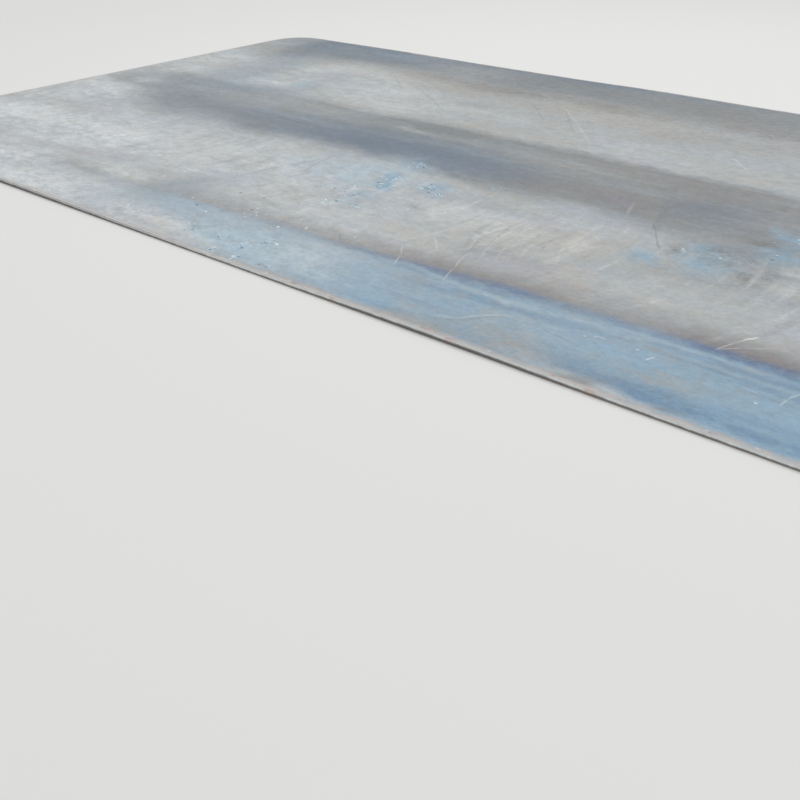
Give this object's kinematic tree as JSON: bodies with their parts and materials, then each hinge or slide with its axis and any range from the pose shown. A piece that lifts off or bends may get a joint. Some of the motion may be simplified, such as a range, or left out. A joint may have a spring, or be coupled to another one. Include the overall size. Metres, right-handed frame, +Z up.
{
  "type": "steel plate",
  "caption": "Flat hot-rolled steel plate with sheared edges, low edge waves and a banded mill-scale surface, stored lying flat as raw stock.",
  "frame": {"origin": "under the middle of the plate, on the level that it rests on", "axes": "+X along the rolling direction and the long edges, +Y across the plate, +Z up out of the upper face"},
  "size_m": [6, 2, 0.0131],
  "materials": {
    "mill_scale_steel": "hot-rolled mill scale, pale blue-grey and buff in bands along the rolling direction, with light rust and dirt on the sheared edges"
  },
  "bodies": {
    "root": {"steel_plate": "mill_scale_steel"}
  },
  "joints": []
}
